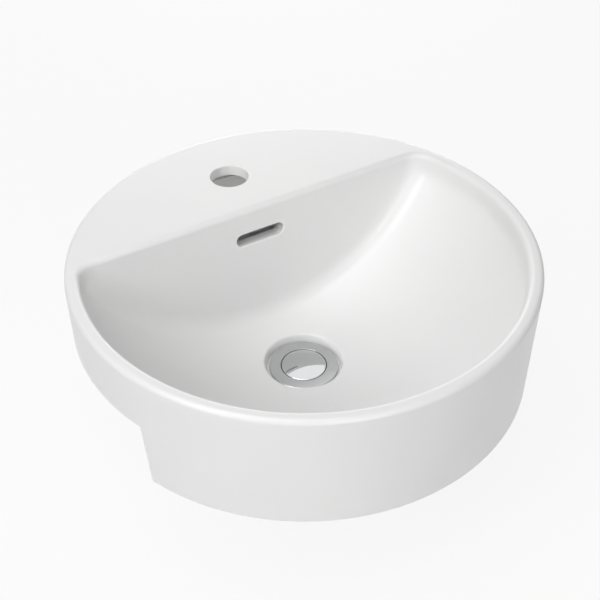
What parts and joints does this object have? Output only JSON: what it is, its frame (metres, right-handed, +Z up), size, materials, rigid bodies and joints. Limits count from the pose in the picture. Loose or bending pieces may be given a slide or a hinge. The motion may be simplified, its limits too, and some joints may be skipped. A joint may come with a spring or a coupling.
{
  "type": "semi recessed basin",
  "caption": "Round white semi recessed wash basin with a flat tap deck, straight rear bowl wall, overflow slot, hanging front apron and a push-to-open chrome waste.",
  "frame": {"origin": "axis of the round rim and of the waste, at the level of the counter top that the rear of the basin sits on", "axes": "+Z up along the waste axis, +Y to the wall behind the basin, -Y to the user, +X to the right as seen from the front"},
  "size_m": [0.3998, 0.3998, 0.204],
  "materials": {
    "china": "smooth white gloss glaze, bare clay on the ground seat",
    "chrome": "polished chrome plate on brass",
    "brass": "machined, unplated",
    "steel": "plain stainless",
    "rubber": "black, matte",
    "nylon": "natural white, satin"
  },
  "bodies": {
    "basin": {"basin_body": "china", "flange_gasket": "rubber", "waste_body": "chrome", "lower_seal": "rubber", "slip_washer": "nylon", "back_nut": "brass", "latch_barrel": "brass", "barrel_bush": "brass", "plunger_ring": "rubber", "plug_spring": "steel"},
    "plug": {"plug_cap": "chrome", "plug_seal": "rubber", "seal_retainer": "nylon", "cap_lock_nut": "brass", "cap_stud": "steel", "plunger": "brass"},
    "rotor": {"latch_rotor": "nylon"}
  },
  "joints": [
    {"name": "plug_lift", "type": "slide", "parent": "basin", "child": "plug", "axis": [0, 0, 1], "range_m": [0, 0.009], "deforming": ["plug_spring"]},
    {"name": "latch_index", "type": "hinge", "parent": "plug", "child": "rotor", "pos_m": [0, 0, -0.1125], "axis": [0, 0, 1], "range_deg": [0, 45]}
  ],
  "couplings": [
    {"joint": "latch_index", "follows": "plug_lift", "rad_per_m": 87.26}
  ]
}
